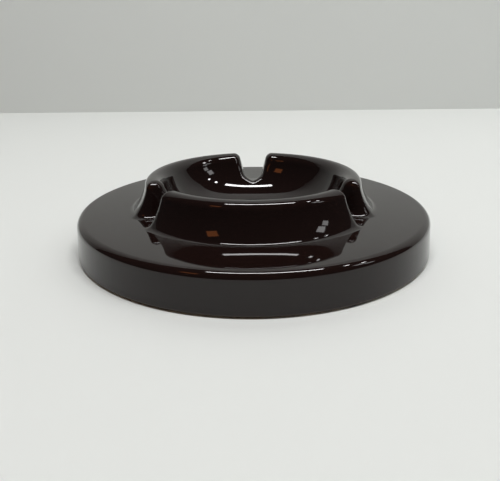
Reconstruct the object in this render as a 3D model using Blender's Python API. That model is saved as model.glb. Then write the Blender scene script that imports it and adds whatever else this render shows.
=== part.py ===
"""A round ashtray in brown-glazed porcelain, standing on three cork feet.

A thick plate carries a raised ring wall, and the wall's three notches are cigarette rests.
Units are metres. The origin is on the turning axis, on the surface that the ashtray stands on,
+Z is up, and one rest opens along +Y.
"""

import math

import bmesh
import bpy

MM = 0.001

# The plate
PLATE_RADIUS = 76.0 * MM  # where the side meets the table
PLATE_HEIGHT = 15.75 * MM  # the flat top, above the table
PLATE_EDGE_ROUND = 3.0 * MM
SIDE_DRAFT = math.radians(4.3)  # the side leans in as it rises

# The ring wall: a fully rounded rim, then a hollow outer face that runs out on the plate
WALL_HEIGHT = 29.8 * MM  # the rim's crest, above the table
CREST_RADIUS = 42.8 * MM
RIM_ROUND = 3.6 * MM
OUTER_LEAN = math.radians(13.0)  # of the outer face where it leaves the rim
HOLLOW_RADIUS = 24.0 * MM
TOE_BLEND = 0.95 * MM

# The bowl: a dished floor and a large cove
BOWL_RADIUS = CREST_RADIUS - RIM_ROUND
COVE_RADIUS = 18.4 * MM
DISH_RADIUS = 150.0 * MM
DISH_HEIGHT = 9.3 * MM

# The cigarette rests: notches through the wall, whose floor rises from the plate to the bowl
REST_AZIMUTHS = [math.radians(90.0 + 120.0 * turn) for turn in range(3)]
REST_HALF_WIDTH = 7.05 * MM  # at the height of the rim's crest
REST_DRAFT = math.radians(14.0)
REST_INNER_ROUND = 2.4 * MM  # of the edge between a flank and the bowl
REST_LIP_BLEND = 0.3 * MM  # of the edge between a rest's floor and the bowl
REST_OUTER_BLEND = 1.8 * MM  # fillet between flank and floor at the outer end
REST_NECK_BLEND = 5.0 * MM  # the same at the inner end
REST_LIP_RISE = 1.5 * MM  # the floor rises this much from the plate to the bowl
REST_SLOPE_START = CREST_RADIUS + 3.2 * MM
REST_SLOPE_LENGTH = 11.0 * MM
FLANK_ROUNDS = [(0.25, 6.0), (3.25, 5.2), (5.25, 4.3), (8.25, 3.4), (11.25, 2.6)]  # height, radius, mm

# The foot and the underside
FOOT_CLEARANCE = 0.5 * MM  # the fired foot clears the table, because the cork stands proud
FOOT_WIDTH = 6.0 * MM
FOOT_ROUND = 0.8 * MM
RECESS_DEPTH = 1.5 * MM

# The cork feet, stuck under the recess
CORK_COUNT = 3
CORK_RADIUS = 8.0 * MM
CORK_INSET = 4.5 * MM  # from the edge of the recess
CORK_FIRST_AZIMUTH = math.radians(30.0)
CORK_EDGE_ROUND = 0.3 * MM
GLUE_GAP = 0.3 * MM

# Faceting
COLUMNS = 120  # a multiple of three, so that each rest gets the same columns
REST_COLUMN_SHARE = 0.66  # share of the columns that lie in and beside the rests
REST_REACH = math.radians(17.0)  # how far to each side of a rest its columns are drawn together
HALVINGS = 30
SMALLEST_STEP = 0.01 * MM  # points closer than this are one point
CORK_SEGMENTS = 40

RIM_HEIGHT = WALL_HEIGHT - RIM_ROUND
# Rays start on this ring inside the clay and meet the skin of bowl, wall and plate once each
CORE_RADIUS = CREST_RADIUS - 0.8 * MM
CORE_HEIGHT = 0.57 * PLATE_HEIGHT
LONGEST_RAY = CORE_RADIUS + 3.0 * MM
RECESS_HEIGHT = FOOT_CLEARANCE + RECESS_DEPTH
FOOT_INNER_RADIUS = PLATE_RADIUS - FOOT_WIDTH
RECESS_RADIUS = FOOT_INNER_RADIUS - RECESS_DEPTH
CORK_ORBIT_RADIUS = RECESS_RADIUS - CORK_INSET - CORK_RADIUS


def arc(center, radius, start, end, steps):
    """Points (radius from the axis, height) along an arc, both ends included; angles in radians."""
    angles = [start + (end - start) * step / steps for step in range(steps + 1)]
    return [
        (center[0] + radius * math.cos(angle), center[1] + radius * math.sin(angle))
        for angle in angles
    ]


def line(start, end, steps):
    """Points on a straight line, both ends included."""
    return [
        tuple(a + (b - a) * step / steps for a, b in zip(start, end)) for step in range(steps + 1)
    ]


def aiming_profile():
    """A rough outline from the bowl's middle to the plate: its points only aim the rays."""
    cove = (BOWL_RADIUS - COVE_RADIUS, DISH_HEIGHT + 1.4 * MM + COVE_RADIUS)
    toe = toe_radius()
    wall_start = (CREST_RADIUS + 1.02 * RIM_ROUND, RIM_HEIGHT)
    wall_end = (toe - 1.2 * MM, PLATE_HEIGHT + 1.3 * MM)
    return [
        (0.0, DISH_HEIGHT),
        (COVE_RADIUS / 2, DISH_HEIGHT + 0.4 * MM),
        *arc(cove, COVE_RADIUS, math.radians(-88.0), math.radians(-14.0), 8),
        *arc((CREST_RADIUS, RIM_HEIGHT), RIM_ROUND, math.pi, math.radians(18.0), 9),
        *line(wall_start, wall_end, 7),
        *line((toe - 0.8 * MM, PLATE_HEIGHT + 0.8 * MM), (toe + 1.8 * MM, PLATE_HEIGHT), 5),
        (toe + 4.0 * MM, PLATE_HEIGHT),
    ]


def hollow_center():
    """Middle of the hollow circle, so placed that it meets the rim's round smoothly."""
    reach = RIM_ROUND + HOLLOW_RADIUS
    lean = (math.cos(OUTER_LEAN), math.sin(OUTER_LEAN))
    return CREST_RADIUS + reach * lean[0], RIM_HEIGHT + reach * lean[1]


def toe_radius():
    """Where the hollow outer face would meet the plate, before the fillet."""
    middle_radius, middle_height = hollow_center()
    rise = middle_height - PLATE_HEIGHT
    return middle_radius - math.sqrt(HOLLOW_RADIUS**2 - rise**2)


def side_round(height, radius):
    """Radius from the axis of the middle of an arc that meets the drafted side smoothly."""
    return PLATE_RADIUS - height * math.tan(SIDE_DRAFT) - radius / math.cos(SIDE_DRAFT)


def plate_profile():
    """The flat top, the rounded edge, the drafted side, the foot and the recess underneath."""
    edge_height = PLATE_HEIGHT - PLATE_EDGE_ROUND
    edge_radius = side_round(edge_height, PLATE_EDGE_ROUND)
    foot_height = FOOT_CLEARANCE + FOOT_ROUND
    foot_radius = side_round(foot_height, FOOT_ROUND)
    up, down = math.pi / 2, -math.pi / 2
    return [
        *arc((edge_radius, edge_height), PLATE_EDGE_ROUND, up, SIDE_DRAFT, 5),
        *arc((foot_radius, foot_height), FOOT_ROUND, SIDE_DRAFT, down, 3),
        (FOOT_INNER_RADIUS, FOOT_CLEARANCE),
        (RECESS_RADIUS, RECESS_HEIGHT),
        (RECESS_RADIUS / 2, RECESS_HEIGHT),
        (0.0, RECESS_HEIGHT),
    ]


def turn_profile(mesh, profile):
    """Spins an outline that starts and ends on the axis into one closed body."""
    points = [mesh.verts.new((radius, 0.0, height)) for radius, height in profile]
    outline = [mesh.edges.new(pair) for pair in zip(points, points[1:])]
    bmesh.ops.spin(
        mesh,
        geom=points + outline,
        axis=(0.0, 0.0, 1.0),
        angle=math.tau,
        steps=COLUMNS,
        use_merge=True,
    )


def rounded_cut(first, second, radius):
    """Distance outside the clay common to two shapes, with their edge turned over by a radius."""
    corner = math.hypot(max(first + radius, 0.0), max(second + radius, 0.0))
    return min(-radius, max(first, second)) + corner


def rounded_join(first, second, radius):
    """Distance outside either shape, with a fillet in the angle between them."""
    return -rounded_cut(-first, -second, radius)


def between(stops, place):
    """The value at a place on a broken line through (place, value) stops, level beyond its ends."""
    if place <= stops[0][0]:
        return stops[0][1]
    for (low, first), (high, second) in zip(stops, stops[1:]):
        if place <= high:
            return first + (second - first) * (place - low) / (high - low)
    return stops[-1][1]


def outer_distance(radius, height):
    """Distance outside the ring wall's rim and hollow outer face."""
    outward = radius - CREST_RADIUS
    above = height - RIM_HEIGHT
    if outward > 0 and above * math.cos(OUTER_LEAN) > outward * math.sin(OUTER_LEAN):
        return math.hypot(outward, above) - RIM_ROUND
    middle_radius, middle_height = hollow_center()
    across = min(radius - middle_radius, 0.0)
    hollow = HOLLOW_RADIUS - math.hypot(across, height - middle_height)
    return hollow if outward > 0 else max(height - WALL_HEIGHT, hollow)


def clay_distance(radius, height, sideways):
    """Distance outside the clay of plate, wall, rests and bowl; sideways counts from a rest's middle."""
    wall = outer_distance(radius, height)
    half_width = REST_HALF_WIDTH - (WALL_HEIGHT - height) * math.tan(REST_DRAFT)
    flank = (half_width - abs(sideways)) * math.cos(REST_DRAFT)
    corner = between(FLANK_ROUNDS, (height - PLATE_HEIGHT) / MM) * MM
    segment = rounded_cut(wall, flank, corner)
    into_flank = math.atan2(max(flank + corner, 0.0), max(wall + corner, 0.0)) / (math.pi / 2)
    inward = min(max((REST_SLOPE_START - radius) / REST_SLOPE_LENGTH, 0.0), 1.0)
    inward = inward**2 * (3 - 2 * inward)
    floor_blend = REST_OUTER_BLEND + (REST_NECK_BLEND - REST_OUTER_BLEND) * inward
    blend = TOE_BLEND + (floor_blend - TOE_BLEND) * into_flank
    floor = PLATE_HEIGHT + REST_LIP_RISE * inward
    standing = rounded_join(segment, height - floor, blend)
    dish = math.hypot(radius, height - DISH_HEIGHT - DISH_RADIUS) - DISH_RADIUS
    bowl = rounded_cut(radius - BOWL_RADIUS, dish, COVE_RADIUS)
    lip_rounds = [
        (PLATE_HEIGHT + 1.0 * MM, REST_LIP_BLEND),
        (PLATE_HEIGHT + 4.0 * MM, REST_INNER_ROUND),
        (RIM_HEIGHT - 2.0 * MM, REST_INNER_ROUND),
        (RIM_HEIGHT, RIM_ROUND),
    ]
    return rounded_cut(standing, -bowl, between(lip_rounds, height))


def skin_point(radius, height, offset):
    """Radius and height of the skin on the ray from the core towards this point."""
    aim = math.atan2(height - CORE_HEIGHT, radius - CORE_RADIUS)
    inside, outside = 0.0, LONGEST_RAY
    for _ in range(HALVINGS):
        middle = (inside + outside) / 2
        radius = CORE_RADIUS + middle * math.cos(aim)
        height = CORE_HEIGHT + middle * math.sin(aim)
        if clay_distance(radius, height, radius * math.sin(offset)) < 0:
            inside = middle
        else:
            outside = middle
    return radius, height


def offset_from_rest(azimuth):
    """The azimuth counted from the middle of the nearest rest."""
    return min((math.remainder(azimuth - rest, math.tau) for rest in REST_AZIMUTHS), key=abs)


def gather_column(offset):
    """The offset that a column moves to, so that a rest's flanks get enough columns."""
    half_third = math.pi / len(REST_AZIMUTHS)
    place = abs(offset) / half_third
    if place <= REST_COLUMN_SHARE:
        moved = REST_REACH * place / REST_COLUMN_SHARE
    else:
        along = (place - REST_COLUMN_SHARE) / (1 - REST_COLUMN_SHARE)
        moved = REST_REACH + (half_third - REST_REACH) * along
    return math.copysign(moved, offset)


def shape_wall_and_rests(mesh):
    """Draws the columns together at each rest, then slides every point onto the shape."""
    shaped_radius = toe_radius() + 4.1 * MM
    for vertex in mesh.verts:
        x, y, height = vertex.co
        radius = math.hypot(x, y)
        if radius > shaped_radius or radius < SMALLEST_STEP or height < CORE_HEIGHT:
            continue
        azimuth = math.atan2(y, x)
        offset = offset_from_rest(azimuth)
        moved = gather_column(offset)
        azimuth += moved - offset
        radius, height = skin_point(radius, height, moved)
        vertex.co = (radius * math.cos(azimuth), radius * math.sin(azimuth), height)


def make_material(name, color, roughness):
    """A Principled material of one colour (linear RGB)."""
    material = bpy.data.materials.new(name)
    material.use_nodes = True
    shader = material.node_tree.nodes["Principled BSDF"]
    shader.inputs["Base Color"].default_value = (*color, 1.0)
    shader.inputs["Roughness"].default_value = roughness
    shader.inputs["Metallic"].default_value = 0.0
    return material


def make_object(name, mesh, material):
    """Turns a bmesh into an object that is shaded smooth where its faces nearly agree."""
    data = bpy.data.meshes.new(name)
    mesh.to_mesh(data)
    mesh.free()
    data.shade_smooth()
    data.set_sharp_from_angle(angle=math.radians(35.0))
    data.materials.append(material)
    obj = bpy.data.objects.new(name, data)
    bpy.context.scene.collection.objects.link(obj)
    return obj


def make_porcelain_body(material):
    """The one fired piece: plate, wall, bowl and rests."""
    mesh = bmesh.new()
    turn_profile(mesh, aiming_profile() + plate_profile())
    shape_wall_and_rests(mesh)
    bmesh.ops.remove_doubles(mesh, verts=mesh.verts, dist=SMALLEST_STEP)
    bmesh.ops.recalc_face_normals(mesh, faces=mesh.faces)
    return make_object("porcelain_body", mesh, material)


def make_cork_foot(number, material):
    """One cork disc, from the table up to the film of glue under the recess."""
    thickness = RECESS_HEIGHT - GLUE_GAP
    azimuth = CORK_FIRST_AZIMUTH + math.tau * (number - 1) / CORK_COUNT
    mesh = bmesh.new()
    bmesh.ops.create_cone(
        mesh,
        cap_ends=True,
        segments=CORK_SEGMENTS,
        radius1=CORK_RADIUS,
        radius2=CORK_RADIUS,
        depth=thickness,
    )
    foot = make_object(f"cork_foot_{number}", mesh, material)
    foot.location = (
        CORK_ORBIT_RADIUS * math.cos(azimuth),
        CORK_ORBIT_RADIUS * math.sin(azimuth),
        thickness / 2,
    )
    bevel = foot.modifiers.new("edge_round", "BEVEL")
    bevel.width = CORK_EDGE_ROUND
    bevel.segments = 2
    bevel.limit_method = "ANGLE"
    return foot


def main():
    for obj in list(bpy.data.objects):
        bpy.data.objects.remove(obj)
    glaze = make_material("brown_glaze", (0.014, 0.007, 0.005), 0.05)
    cork = make_material("pressed_cork", (0.40, 0.24, 0.13), 0.90)
    make_porcelain_body(glaze)
    for number in range(1, CORK_COUNT + 1):
        make_cork_foot(number, cork)


main()
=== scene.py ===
# %% [markdown]
# # A brown-glazed porcelain ashtray
#
# The object is one fired piece of porcelain: a thick round plate, a raised ring wall and a shallow
# bowl inside it. Three notches through the wall hold cigarettes. The glaze is the very dark
# reddish brown of electrical porcelain, and it is glossy like wet chocolate. Underneath, the foot is
# bare clay, because glaze would stick to the kiln shelf, and three cork discs keep it off the table.
#
# The design's solids are loaded first. They fix every size and place, and nothing here moves them.

# %% Load the fixed frame
import math

import bpy
import numpy as np
from mathutils import Matrix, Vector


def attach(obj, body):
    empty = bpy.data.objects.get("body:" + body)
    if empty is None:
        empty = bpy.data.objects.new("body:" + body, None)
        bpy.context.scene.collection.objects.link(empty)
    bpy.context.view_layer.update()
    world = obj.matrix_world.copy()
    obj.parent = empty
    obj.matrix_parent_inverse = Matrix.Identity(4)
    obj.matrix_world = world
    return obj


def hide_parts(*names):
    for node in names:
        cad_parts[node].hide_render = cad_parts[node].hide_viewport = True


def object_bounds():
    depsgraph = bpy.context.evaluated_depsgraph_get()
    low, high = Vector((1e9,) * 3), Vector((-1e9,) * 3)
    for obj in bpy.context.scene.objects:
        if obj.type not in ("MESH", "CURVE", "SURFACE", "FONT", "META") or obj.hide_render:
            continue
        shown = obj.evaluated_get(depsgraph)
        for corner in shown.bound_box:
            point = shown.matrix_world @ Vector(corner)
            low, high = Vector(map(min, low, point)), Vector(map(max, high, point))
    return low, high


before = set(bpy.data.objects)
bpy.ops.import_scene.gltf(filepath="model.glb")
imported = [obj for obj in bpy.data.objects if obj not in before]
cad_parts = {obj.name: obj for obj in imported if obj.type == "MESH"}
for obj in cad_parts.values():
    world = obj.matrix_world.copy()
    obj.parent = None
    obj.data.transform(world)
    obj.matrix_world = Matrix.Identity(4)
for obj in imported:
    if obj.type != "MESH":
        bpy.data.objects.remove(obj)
cad_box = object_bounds()
MM = 0.001
print("nodes:", sorted(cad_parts))
print("design box, mm:", [[round(value / MM, 2) for value in corner] for corner in cad_box])

# %% [markdown]
# ## The camera
#
# The camera stands low and close, a hand's length in front of the plate, with a fairly wide lens, so
# the near edge of the plate looms a little. Lens, height and tilt belong together: a longer lens from
# further away would flatten the ellipses. The tiny turn and roll are those of a camera held by hand.

# %% Place the camera
CAMERA_DISTANCE = 226.3 * MM
CAMERA_HEIGHT = 84.1 * MM
CAMERA_TILT = math.radians(20.76)
CAMERA_TURN = math.radians(0.40)
CAMERA_ROLL = math.radians(-0.59)
SENSOR_WIDTH = 36.0
LENS = 38.37

camera_data = bpy.data.cameras.new("camera")
camera_data.sensor_width = SENSOR_WIDTH
camera_data.lens = LENS
camera_data.clip_start = 10 * MM
camera = bpy.data.objects.new("camera", camera_data)
turn = Matrix.Rotation(CAMERA_TURN, 4, "Z")
tilt = Matrix.Rotation(math.pi / 2 - CAMERA_TILT, 4, "X")
roll = Matrix.Rotation(CAMERA_ROLL, 4, "Z")
place = Matrix.Translation((0.0, -CAMERA_DISTANCE, CAMERA_HEIGHT))
camera.matrix_world = place @ turn @ tilt @ roll
bpy.context.scene.collection.objects.link(camera)
bpy.context.scene.camera = camera
print("camera at", [round(value, 4) for value in camera.matrix_world.translation])

# %% [markdown]
# ## The sizes
#
# A turned pot is described by one outline, so a few radii and heights are enough. They repeat the
# design's values, and the height of the wall is read from the loaded solids. Only the plate is a
# hundredth of a millimetre smaller, so that its smoother outline stays inside the design's box.
# The floor of each rest lies level with the plate outside and rises a little towards the bowl.

# %% Name the sizes
PLATE_HEIGHT = 15.75 * MM
EDGE_ROUND = 3.0 * MM
SIDE_DRAFT = math.radians(4.3)
PLATE_RADIUS = 75.99 * MM

WALL_HEIGHT = cad_box[1][2]
CREST_RADIUS = 42.8 * MM  # where the rim is highest
RIM_ROUND = 3.6 * MM
RIM_HEIGHT = WALL_HEIGHT - RIM_ROUND
OUTER_LEAN = math.radians(13.0)  # of the outer face where it leaves the rim
HOLLOW_RADIUS = 24.0 * MM
TOE_BLEND = 0.95 * MM

BOWL_RADIUS = 39.2 * MM
COVE_RADIUS = 18.4 * MM
DISH_RADIUS = 150.0 * MM
DISH_HEIGHT = 9.3 * MM

REST_AZIMUTHS = np.radians([90.0, 210.0, 330.0])
REST_HALF_WIDTH = 7.05 * MM  # at the height of the rim
REST_DRAFT = math.radians(14.0)
REST_INNER_ROUND = 2.4 * MM  # of a flank's edge on the bowl's side
REST_LIP_BLEND = 0.3 * MM  # of the floor's edge on the bowl's side
REST_OUTER_BLEND = 1.8 * MM  # between flank and floor, at the outer end
REST_NECK_BLEND = 5.0 * MM  # the same, at the inner end
REST_LIP_RISE = 1.5 * MM
REST_SLOPE_START = 46.0 * MM
REST_SLOPE_LENGTH = 11.0 * MM

FOOT_CLEARANCE = 0.5 * MM
FOOT_ROUND = 0.8 * MM
FOOT_WIDTH = 6.0 * MM
RECESS_DEPTH = 1.5 * MM
print("wall", round(WALL_HEIGHT / MM, 2), "mm high, bowl", round(2 * BOWL_RADIUS / MM, 1), "mm wide")

# %% [markdown]
# ## The shape, as a function
#
# The notches make the pot hard to model by hand: each one has a wall that turns over into two
# flanks, an outer face that runs round the corner, and a floor that melts into the plate. So the
# shape is written as one function. It says how far any point is outside the clay: negative inside,
# zero on the skin. Cutting one shape with another is the larger of two such distances. To turn the
# edge over with a radius, the sharp corner is swapped for a quarter circle, and that is what the
# function rounded_cut does. Joining with a fillet is the same thing seen from the air side.

# %% Write the shape function
def rounded_cut(first, second, radius):
    """The clay common to two shapes, its edge turned over: inside the strip where both distances
    exceed minus the radius, the distance is measured from the round's middle; elsewhere it is the
    larger of the two."""
    corner = np.hypot(np.maximum(first + radius, 0), np.maximum(second + radius, 0))
    return np.minimum(-radius, np.maximum(first, second)) + corner


def rounded_join(first, second, radius):
    """Either shape, with a hollow fillet in the angle between them."""
    return -rounded_cut(-first, -second, radius)


def outer_distance(radius, height):
    """Outside the wall and below its top: the rim's outer quarter is an arc round the crest, and the
    face below it is a large hollow circle that the arc meets smoothly at the wall's lean."""
    from_crest = radius - CREST_RADIUS
    above_rim = height - RIM_HEIGHT
    reach = RIM_ROUND + HOLLOW_RADIUS
    middle_radius = CREST_RADIUS + reach * math.cos(OUTER_LEAN)
    middle_height = RIM_HEIGHT + reach * math.sin(OUTER_LEAN)
    across = np.minimum(radius, middle_radius) - middle_radius
    hollow = HOLLOW_RADIUS - np.hypot(across, height - middle_height)
    on_rim = (from_crest > 0) & (above_rim * math.cos(OUTER_LEAN) > from_crest * math.sin(OUTER_LEAN))
    inside = np.where(from_crest > 0, hollow, np.maximum(height - WALL_HEIGHT, hollow))
    return np.where(on_rim, np.hypot(from_crest, above_rim) - RIM_ROUND, inside)


def flank_round(height):
    """Radius of the wall's upright corners at a rest's outer end: they open out towards the plate."""
    heights = [16.0, 19.0, 21.0, 24.0, 27.0]
    rounds = np.array([6.0, 5.2, 4.3, 3.4, 2.6]) * MM
    return np.interp(height / MM, heights, rounds)


def clay_distance(radius, height, sideways):
    """How far a point is outside the clay: radius from the axis, height above the table, and
    sideways offset from the middle of the nearest rest."""
    wall = outer_distance(radius, height)
    half_width = REST_HALF_WIDTH - (WALL_HEIGHT - height) * math.tan(REST_DRAFT)
    flank = (half_width - np.abs(sideways)) * math.cos(REST_DRAFT)
    corner = flank_round(height)
    segment = rounded_cut(wall, flank, corner)
    share = np.arctan2(np.maximum(flank + corner, 0), np.maximum(wall + corner, 0)) / (math.pi / 2)
    inward = np.clip((REST_SLOPE_START - radius) / REST_SLOPE_LENGTH, 0, 1)
    inward = inward**2 * (3 - 2 * inward)
    floor_blend = REST_OUTER_BLEND + (REST_NECK_BLEND - REST_OUTER_BLEND) * inward
    blend = TOE_BLEND + (floor_blend - TOE_BLEND) * share
    floor = PLATE_HEIGHT + REST_LIP_RISE * inward
    standing = rounded_join(segment, height - floor, blend)
    dish = np.hypot(radius, height - DISH_HEIGHT - DISH_RADIUS) - DISH_RADIUS
    bowl = rounded_cut(radius - BOWL_RADIUS, dish, COVE_RADIUS)
    stops = np.array([PLATE_HEIGHT + 1 * MM, PLATE_HEIGHT + 4 * MM, RIM_HEIGHT - 2 * MM, RIM_HEIGHT])
    rounds = np.array([REST_LIP_BLEND, REST_INNER_ROUND, REST_INNER_ROUND, RIM_ROUND])
    return rounded_cut(standing, -bowl, np.interp(height, stops, rounds))


print("on the crest:", round(float(clay_distance(CREST_RADIUS, WALL_HEIGHT, 0.05)) / MM, 3), "mm")

# %% [markdown]
# ## The skin, found along rays
#
# A ring is laid inside the clay under the wall. From that ring, every ray outward meets the skin
# once, so the skin is a grid: the angle round the axis, and the angle of the ray. The distance along
# each ray is found by halving an interval until it is far smaller than any ripple in the glaze. The
# plate's edge, the side and the underside are plain turned arcs, so they are rows of the same grid.
# This first half only decides where the columns stand and where the rays point.

# %% Lay out the grid's two directions
CORE_RADIUS = 42.0 * MM
CORE_HEIGHT = 9.0 * MM
NEAR_DEGREES = 19.0  # columns crowd together up to this far from the middle of a rest
HALF_THIRD_DEGREES = 60.0
NEAR_COLUMNS = 56
FAR_COLUMNS = 18
FOOT_EDGE_ROUND = 0.5 * MM
RECESS_RAMP = 2.0 * MM
RECESS_CORNER_ROUND = 1.2 * MM


def arc(center, radius, start, end, count):
    """Points on an arc (radius from the axis, height), its angles in degrees, both ends included."""
    angles = np.radians(np.linspace(start, end, count))
    return np.column_stack([center[0] + radius * np.cos(angles), center[1] + radius * np.sin(angles)])


def line(start, end, count):
    """Points on a straight line, both ends included."""
    return np.linspace(start, end, count)


def column_azimuths():
    """Azimuths that crowd together at the rests and spread out between them."""
    near = np.linspace(0.0, NEAR_DEGREES, NEAR_COLUMNS)
    far = np.linspace(NEAR_DEGREES, HALF_THIRD_DEGREES, FAR_COLUMNS)[1:]
    half = np.concatenate([near, far])
    third = np.concatenate([-half[:0:-1], half[:-1]])
    return (REST_AZIMUTHS[:, None] + np.radians(third)[None, :]).ravel()


def guide_outline():
    """A rough outline from the middle of the bowl to the flat of the plate: it only aims the rays."""
    cove = (BOWL_RADIUS - COVE_RADIUS, DISH_HEIGHT + 1.4 * MM + COVE_RADIUS)
    rim = (CREST_RADIUS, RIM_HEIGHT)
    lean = math.degrees(OUTER_LEAN)
    foot_of_wall = (51.4 * MM, 17.0 * MM)
    return np.concatenate([
        line((2.0 * MM, DISH_HEIGHT), (20.0 * MM, 11.5 * MM), 9),
        arc(cove, COVE_RADIUS, -88.0, -13.0, 46),
        arc(rim, RIM_ROUND, 176.0, lean, 40),
        line((46.4 * MM, 26.6 * MM), foot_of_wall, 30),
        line((51.5 * MM, 16.8 * MM), (54.6 * MM, PLATE_HEIGHT), 24),
        line((55.2 * MM, PLATE_HEIGHT), (66.0 * MM, PLATE_HEIGHT), 7),
    ])


def side_center(height, radius):
    """Middle of an arc that meets the leaning side smoothly."""
    return (PLATE_RADIUS - height * math.tan(SIDE_DRAFT) - radius / math.cos(SIDE_DRAFT), height)


edge_center = side_center(PLATE_HEIGHT - EDGE_ROUND, EDGE_ROUND)
foot_center = side_center(FOOT_CLEARANCE + FOOT_ROUND, FOOT_ROUND)
draft = math.degrees(SIDE_DRAFT)
foot_inner = PLATE_RADIUS - FOOT_WIDTH
recess_height = FOOT_CLEARANCE + RECESS_DEPTH
edge_rows = arc(edge_center, EDGE_ROUND, 90.0, draft, 20)
foot_rows = arc(foot_center, FOOT_ROUND, draft, -90.0, 9)
side_rows = line(edge_rows[-1], foot_rows[0], 10)[1:-1]
underside_rows = np.concatenate([
    line(foot_rows[-1], (foot_inner + FOOT_EDGE_ROUND, FOOT_CLEARANCE), 4)[1:],
    arc((foot_inner + FOOT_EDGE_ROUND, FOOT_CLEARANCE + FOOT_EDGE_ROUND), FOOT_EDGE_ROUND, -90.0, -150.0, 5)[1:],
    arc((foot_inner - RECESS_RAMP, recess_height - RECESS_CORNER_ROUND), RECESS_CORNER_ROUND, 30.0, 90.0, 6),
    line((60.0 * MM, recess_height), (2.0 * MM, recess_height), 8),
])
print("columns:", len(column_azimuths()), "rays:", len(guide_outline()))

# %% [markdown]
# ## One closed mesh
#
# Now the rays are followed, the turned rows are added below them, and the grid is closed by a fan of
# triangles to the axis above and below. It is one piece, as the fired pot is, with no seam anywhere.

# %% Find the skin and build the mesh
LONGEST_RAY = 45.0 * MM
HALVINGS = 34


def skin_radii_and_heights(azimuths, outline):
    """Radius and height of the skin for every ray (rows) in every half-plane (columns)."""
    aim = np.arctan2(outline[:, 1] - CORE_HEIGHT, outline[:, 0] - CORE_RADIUS)[:, None]
    offsets = azimuths[:, None] - REST_AZIMUTHS[None, :]
    offsets = (offsets + math.pi) % math.tau - math.pi
    nearest = offsets[np.arange(len(azimuths)), np.abs(offsets).argmin(axis=1)][None, :]
    inside = np.zeros((len(outline), len(azimuths)))
    outside = np.full_like(inside, LONGEST_RAY)
    for _ in range(HALVINGS):
        middle = (inside + outside) / 2
        radius = CORE_RADIUS + middle * np.cos(aim)
        height = CORE_HEIGHT + middle * np.sin(aim)
        in_clay = clay_distance(radius, height, radius * np.sin(nearest)) < 0
        inside = np.where(in_clay, middle, inside)
        outside = np.where(in_clay, outside, middle)
    return radius, height


def lathe_rows(outline, count):
    """The same radius and height in every column."""
    return [np.repeat(outline[:, part][:, None], count, axis=1) for part in (0, 1)]


def grid_faces(rows, columns):
    """Quads between neighbouring rows of a grid whose columns close into a ring."""
    row, column = np.meshgrid(np.arange(rows - 1), np.arange(columns), indexing="ij")
    after = (column + 1) % columns
    corners = [row * columns + column, row * columns + after,
               (row + 1) * columns + after, (row + 1) * columns + column]
    return np.stack([corner.ravel() for corner in corners], axis=1)


def closed_mesh(name, azimuths, radius, height):
    """A ring grid, closed at both ends by a fan to a point on the axis."""
    rows, columns = radius.shape
    points = np.stack([radius * np.cos(azimuths), radius * np.sin(azimuths), height], axis=2)
    poles = np.array([[0.0, 0.0, height[0].mean()], [0.0, 0.0, height[-1].mean()]])
    vertices = np.concatenate([points.reshape(-1, 3), poles])
    quads = grid_faces(rows, columns)[:, ::-1]
    start = np.arange(columns)
    after = (start + 1) % columns
    last = (rows - 1) * columns
    first_fan = np.stack([np.full(columns, rows * columns), start, after], axis=1)
    last_fan = np.stack([np.full(columns, rows * columns + 1), last + after, last + start], axis=1)
    faces = quads.tolist() + first_fan.tolist() + last_fan.tolist()
    mesh = bpy.data.meshes.new(name)
    mesh.from_pydata(vertices.tolist(), [], faces)
    mesh.shade_smooth()
    piece = bpy.data.objects.new(name, mesh)
    bpy.context.scene.collection.objects.link(piece)
    return piece


azimuths = column_azimuths()
turned = np.concatenate([edge_rows, side_rows, foot_rows, underside_rows])
top = skin_radii_and_heights(azimuths, guide_outline())
rest_of_body = lathe_rows(turned, len(azimuths))
radius = np.concatenate([top[0], rest_of_body[0]])
height = np.concatenate([top[1], rest_of_body[1]])
body = closed_mesh("porcelain", azimuths, radius, height)
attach(body, "root")
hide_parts("porcelain_body")
print("porcelain:", len(body.data.polygons), "faces")

# %% [markdown]
# ## Where the glaze thins
#
# A melted glaze behaves like honey: it draws back from a sharp edge and gathers in a hollow, so an
# edge shows a warmer, redder brown than a flat. Painting that by hand would never follow the
# notches. The curvature of the finished skin does, so it is measured once and kept on the vertices.

# %% Measure the curvature of the skin
THINNEST_ROUND = 1.6 * MM


def store_edge_bend(piece, name):
    """Mean curvature at each vertex, as the turning of the normals along its edges over the edges'
    length: positive over an edge, negative in a hollow, and 1 at the sharpest round."""
    mesh = piece.data
    points = np.empty(len(mesh.vertices) * 3)
    mesh.vertices.foreach_get("co", points)
    points = points.reshape(-1, 3)
    normals = np.empty(len(mesh.vertices) * 3)
    mesh.vertex_normals.foreach_get("vector", normals)
    normals = normals.reshape(-1, 3)
    ends = np.empty(len(mesh.edges) * 2, dtype=np.int32)
    mesh.edges.foreach_get("vertices", ends)
    first, second = ends.reshape(-1, 2).T
    along = points[second] - points[first]
    length = np.maximum(np.einsum("ij,ij->i", along, along), 1e-12)
    bend = np.einsum("ij,ij->i", normals[second] - normals[first], along) / length
    total = np.bincount(first, bend, len(points)) + np.bincount(second, bend, len(points))
    count = np.bincount(first, minlength=len(points)) + np.bincount(second, minlength=len(points))
    value = np.clip(total / count * THINNEST_ROUND, -1.0, 1.0)
    mesh.attributes.new(name, "FLOAT", "POINT").data.foreach_set("value", value.astype(np.float32))
    return value


bend = store_edge_bend(body, "edge_bend")
print("bend from", round(float(bend.min()), 2), "to", round(float(bend.max()), 2))

# %% [markdown]
# ## Helpers for materials
#
# Colours are written as sRGB hex, as a paint program shows them, but a shader works with linear
# light, so one function converts them. Another adds a node, sets its values and links its inputs.

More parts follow.
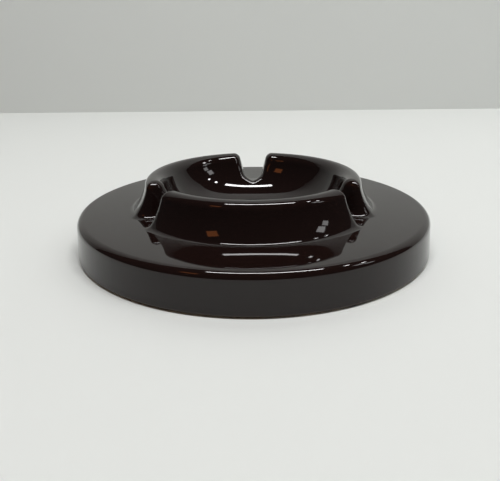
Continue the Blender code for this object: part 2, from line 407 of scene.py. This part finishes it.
# %% Convert a colour and add a node
def linear(hex_colour):
    """Linear RGBA of an sRGB hex colour, by the sRGB curve."""
    parts = [int(hex_colour[start:start + 2], 16) / 255 for start in (1, 3, 5)]
    return [part / 12.92 if part < 0.04045 else ((part + 0.055) / 1.055) ** 2.4 for part in parts] + [1.0]


def add_node(tree, kind, settings=None, values=None, links=None):
    """A new node with its settings, the constants of its inputs, and links from other nodes' outputs."""
    node = tree.nodes.new("ShaderNode" + kind)
    for name, value in (settings or {}).items():
        setattr(node, name, value)
    for name, value in (values or {}).items():
        node.inputs[name].default_value = value
    for name, output in (links or {}).items():
        tree.links.new(output, node.inputs[name])
    return node


def new_material(name):
    """An empty material, its node tree and its Principled shader."""
    material = bpy.data.materials.new(name)
    material.use_nodes = True
    tree = material.node_tree
    return material, tree, tree.nodes["Principled BSDF"]


def frequency(size):
    """Texture scale in cycles per metre that gives features of a real size in metres."""
    return 1.0 / size


print("white is", linear("#ffffff"))

# %% [markdown]
# ## The glaze
#
# Line insulators and this ashtray share a glaze: iron and manganese oxides melted into a clear glass
# over white porcelain. It fires to a glassy, nearly black chocolate. A glass has an index near 1.5,
# and the melt leaves it almost mirror smooth, with only a faint ripple some millimetres wide. So the
# shader is a dark base with a sharp gloss. Where the skin bends over an edge the brown is warmer.
# The foot was wiped clean before firing: there the surface is matt, cream-white biscuit, and the
# edge of the glaze wanders a little.

# %% Make the brown glaze
GLAZE_POOLED = "#1a0f0d"
GLAZE_THIN = "#24120d"
BISCUIT = "#cdbfa8"
BISCUIT_STAIN = "#9a8468"
GLAZE_INDEX = 1.46
GLAZE_ROUGHNESS = 0.045
BISCUIT_ROUGHNESS = 0.85
RIPPLE_WIDTH = 7.0 * MM
RIPPLE_HEIGHT = 0.02 * MM
SPECKLE_WIDTH = 0.5 * MM
THIN_FROM, THIN_TO = 0.10, 0.75  # the bends between which the brown turns warmer
GLAZE_LINE = FOOT_CLEARANCE - 0.15 * MM  # the glaze stops here, plus the wander
GLAZE_LINE_WANDER = 0.5 * MM


def make_glaze():
    """Dark gloss glass, warmer where edge_bend is high, and bare biscuit on the foot ring."""
    material, tree, shader = new_material("iron_brown_glaze_on_porcelain")
    place = add_node(tree, "TexCoord").outputs["Object"]
    bend = add_node(tree, "Attribute", {"attribute_name": "edge_bend"}).outputs["Fac"]
    ripple = add_node(tree, "TexNoise", None,
                      {"Scale": frequency(RIPPLE_WIDTH), "Detail": 2.0, "Roughness": 0.4}, {"Vector": place})
    speckle = add_node(tree, "TexNoise", None,
                       {"Scale": frequency(SPECKLE_WIDTH), "Detail": 3.0, "Roughness": 0.6}, {"Vector": place})
    thin = add_node(tree, "MapRange", {"interpolation_type": "SMOOTHSTEP"},
                    {"From Min": THIN_FROM, "From Max": THIN_TO}, {"Value": bend})
    glaze = add_node(tree, "Mix", {"data_type": "RGBA"}, None, {"Factor": thin.outputs[0]})
    glaze.inputs[6].default_value = linear(GLAZE_POOLED)
    glaze.inputs[7].default_value = linear(GLAZE_THIN)

    parts = add_node(tree, "SeparateXYZ", None, None, {"Vector": place})
    flat = add_node(tree, "CombineXYZ", None, None, {"X": parts.outputs["X"], "Y": parts.outputs["Y"]})
    from_axis = add_node(tree, "VectorMath", {"operation": "LENGTH"}, None, {"Vector": flat.outputs[0]})
    ragged = add_node(tree, "Math", {"operation": "MULTIPLY_ADD"},
                      {1: GLAZE_LINE_WANDER, 2: GLAZE_LINE}, {0: ripple.outputs["Fac"]})
    low = add_node(tree, "Math", {"operation": "LESS_THAN"}, None,
                   {0: parts.outputs["Z"], 1: ragged.outputs[0]})
    in_ring = add_node(tree, "Math", {"operation": "GREATER_THAN"}, {1: foot_inner - 0.4 * MM},
                       {0: from_axis.outputs["Value"]})
    bare = add_node(tree, "Math", {"operation": "MULTIPLY"}, None,
                    {0: low.outputs[0], 1: in_ring.outputs[0]}).outputs[0]
    biscuit = add_node(tree, "Mix", {"data_type": "RGBA"}, None, {"Factor": speckle.outputs["Fac"]})
    biscuit.inputs[6].default_value = linear(BISCUIT)
    biscuit.inputs[7].default_value = linear(BISCUIT_STAIN)
    colour = add_node(tree, "Mix", {"data_type": "RGBA"}, None, {"Factor": bare})
    tree.links.new(glaze.outputs[2], colour.inputs[6])
    tree.links.new(biscuit.outputs[2], colour.inputs[7])
    matt = add_node(tree, "MapRange", None, {"To Min": GLAZE_ROUGHNESS, "To Max": BISCUIT_ROUGHNESS},
                    {"Value": bare})
    relief = add_node(tree, "Bump", None, {"Strength": 1.0, "Distance": RIPPLE_HEIGHT},
                      {"Height": ripple.outputs["Fac"]})
    shader.inputs["IOR"].default_value = GLAZE_INDEX
    tree.links.new(colour.outputs[2], shader.inputs["Base Color"])
    tree.links.new(matt.outputs[0], shader.inputs["Roughness"])
    tree.links.new(relief.outputs["Normal"], shader.inputs["Normal"])
    return material


body.data.materials.append(make_glaze())
print("glaze on", body.name)

# %% [markdown]
# ## The cork feet
#
# Pressed cork is made of small granules glued in a block and cut into discs. Each granule is a
# slightly different tan, with dark gaps between them, so a cell pattern of granule size gives the
# colour, and the cell edges give the gaps and a little relief.

# %% Make the cork
CORK_GRAIN = 1.6 * MM
CORK_PALE = "#b98a5a"
CORK_BROWN = "#8f6239"
CORK_GAP = "#4a2d18"
GAP_SHARE = 0.12  # of a granule's width
GAP_DEPTH = 0.15 * MM
CORK_ROUGHNESS = 0.85


def make_cork():
    """Tan granules in a cell pattern, dark and sunk along the cell edges."""
    material, tree, shader = new_material("pressed_cork")
    place = add_node(tree, "TexCoord").outputs["Object"]
    grains = add_node(tree, "TexVoronoi", None, {"Scale": frequency(CORK_GRAIN)}, {"Vector": place})
    gaps = add_node(tree, "TexVoronoi", {"feature": "DISTANCE_TO_EDGE"},
                    {"Scale": frequency(CORK_GRAIN)}, {"Vector": place})
    tone = add_node(tree, "SeparateColor", None, None, {"Color": grains.outputs["Color"]})
    tan = add_node(tree, "Mix", {"data_type": "RGBA"}, None, {"Factor": tone.outputs[0]})
    tan.inputs[6].default_value = linear(CORK_PALE)
    tan.inputs[7].default_value = linear(CORK_BROWN)
    open_gap = add_node(tree, "MapRange", None, {"From Min": 0.0, "From Max": GAP_SHARE},
                        {"Value": gaps.outputs[0]})
    colour = add_node(tree, "Mix", {"data_type": "RGBA"}, None, {"Factor": open_gap.outputs[0]})
    colour.inputs[6].default_value = linear(CORK_GAP)
    tree.links.new(tan.outputs[2], colour.inputs[7])
    relief = add_node(tree, "Bump", None, {"Strength": 0.6, "Distance": GAP_DEPTH},
                      {"Height": open_gap.outputs[0]})
    shader.inputs["Roughness"].default_value = CORK_ROUGHNESS
    tree.links.new(colour.outputs[2], shader.inputs["Base Color"])
    tree.links.new(relief.outputs["Normal"], shader.inputs["Normal"])
    return material


cork = make_cork()
for number in (1, 2, 3):
    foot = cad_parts[f"cork_foot_{number}"]
    foot.data.materials.clear()
    foot.data.materials.append(cork)
print("cork on three feet")

# %% [markdown]
# ## Table and backdrop
#
# A dark gloss shows its surroundings more than itself. So the stage is part of the look: a pale
# table, and a tall pale board standing well behind the ashtray. The flat of the plate mirrors the
# board, the side of the plate mirrors the table, and the front of the wall mirrors the dim room.

# %% Build the stage
TABLE_COLOUR = "#e8eae7"
BOARD_COLOUR = "#e8eae7"
BOARD_DISTANCE = 450 * MM
BOARD_HEIGHT = 1300 * MM
STAGE_WIDTH = 3000 * MM
PAINT_ROUGHNESS = 0.7
PAINT_SHINE = 0.2


def add_stage_sheet(name, corners, colour):
    """A flat quad of one matt paint, marked as stage."""
    mesh = bpy.data.meshes.new(name)
    mesh.from_pydata(corners, [], [(0, 1, 2, 3)])
    sheet = bpy.data.objects.new(name, mesh)
    material, _, shader = new_material(name + "_paint")
    shader.inputs["Base Color"].default_value = linear(colour)
    shader.inputs["Roughness"].default_value = PAINT_ROUGHNESS
    shader.inputs["Specular IOR Level"].default_value = PAINT_SHINE
    mesh.materials.append(material)
    bpy.context.scene.collection.objects.link(sheet)
    return sheet


half = STAGE_WIDTH / 2
table_corners = [(-half, -half, 0), (half, -half, 0), (half, half, 0), (-half, half, 0)]
board_corners = [(-half, BOARD_DISTANCE, 0), (half, BOARD_DISTANCE, 0),
                 (half, BOARD_DISTANCE, BOARD_HEIGHT), (-half, BOARD_DISTANCE, BOARD_HEIGHT)]
table = add_stage_sheet("table", table_corners, TABLE_COLOUR)
board = add_stage_sheet("board", board_corners, BOARD_COLOUR)
print("board stands", BOARD_DISTANCE / MM, "mm behind the axis")

# %% [markdown]
# ## Light
#
# A long thin ceiling tube, almost overhead, is mirrored as the bright line at the wall's toe, the one
# on the plate in front of it, and the crescent in the bowl. Two short tubes and two small lamps to
# the right give the short glints, and a weak warm lamp to the left gives the amber spot. Placing each
# light by its direction makes the glints easy to steer.

# %% Hang the lights
CEILING_DISTANCE = 1.5
CEILING_ELEVATION = 84.0
CEILING_RADIANCE = 43.0
TUBE_THICKNESS = 0.105
# name: (place along the tubes' line, length), metres
TUBES = {"long_tube": (0.137, 1.19), "short_tube": (1.13, 0.10), "far_tube": (1.60, 0.12)}
# name: (azimuth, elevation, degrees; size, metres; radiance)
LAMPS = {"upper_lamp": (72.0, 35.0, 0.15, 4.0), "lower_lamp": (75.0, 27.0, 0.12, 3.4)}
LAMP_DISTANCE = 1.2
WARM_COLOUR = "#ff9450"
WARM_AZIMUTH, WARM_ELEVATION = -44.0, 42.0
WARM_SIZE = (0.19, 0.16)
WARM_RADIANCE = 1.9
ROOM_STRENGTH = 0.04


def hang_light(name, azimuth, elevation, distance, sideways, size, radiance):
    """A rectangular light facing the origin. Azimuth 0 is in front, 90 is on the right, and sideways
    shifts it along its own width. Its power is pi times area times the wanted radiance."""
    turn = Matrix.Rotation(math.radians(azimuth), 4, "Z")
    tilt = Matrix.Rotation(math.radians(90.0 - elevation), 4, "X")
    data = bpy.data.lights.new(name, "AREA")
    data.shape = "RECTANGLE"
    data.size, data.size_y = size
    data.energy = math.pi * size[0] * size[1] * radiance
    light = bpy.data.objects.new(name, data)
    light.matrix_world = turn @ tilt @ Matrix.Translation((sideways, 0.0, distance))
    bpy.context.scene.collection.objects.link(light)
    return light


for name, (sideways, length) in TUBES.items():
    hang_light(name, 0.0, CEILING_ELEVATION, CEILING_DISTANCE, sideways, (length, TUBE_THICKNESS),
               CEILING_RADIANCE)
for name, (azimuth, elevation, size, radiance) in LAMPS.items():
    hang_light(name, azimuth, elevation, LAMP_DISTANCE, 0.0, (size, size), radiance)
warm = hang_light("warm_lamp", WARM_AZIMUTH, WARM_ELEVATION, LAMP_DISTANCE, 0.0, WARM_SIZE, WARM_RADIANCE)
warm.data.color = linear(WARM_COLOUR)[:3]

world = bpy.data.worlds.new("room")
world.use_nodes = True
background = world.node_tree.nodes["Background"]
background.inputs["Color"].default_value = linear("#ffffff")
background.inputs["Strength"].default_value = ROOM_STRENGTH
bpy.context.scene.world = world
bpy.context.scene.view_settings.view_transform = "Standard"
print("lights:", [item.name for item in bpy.data.lights])
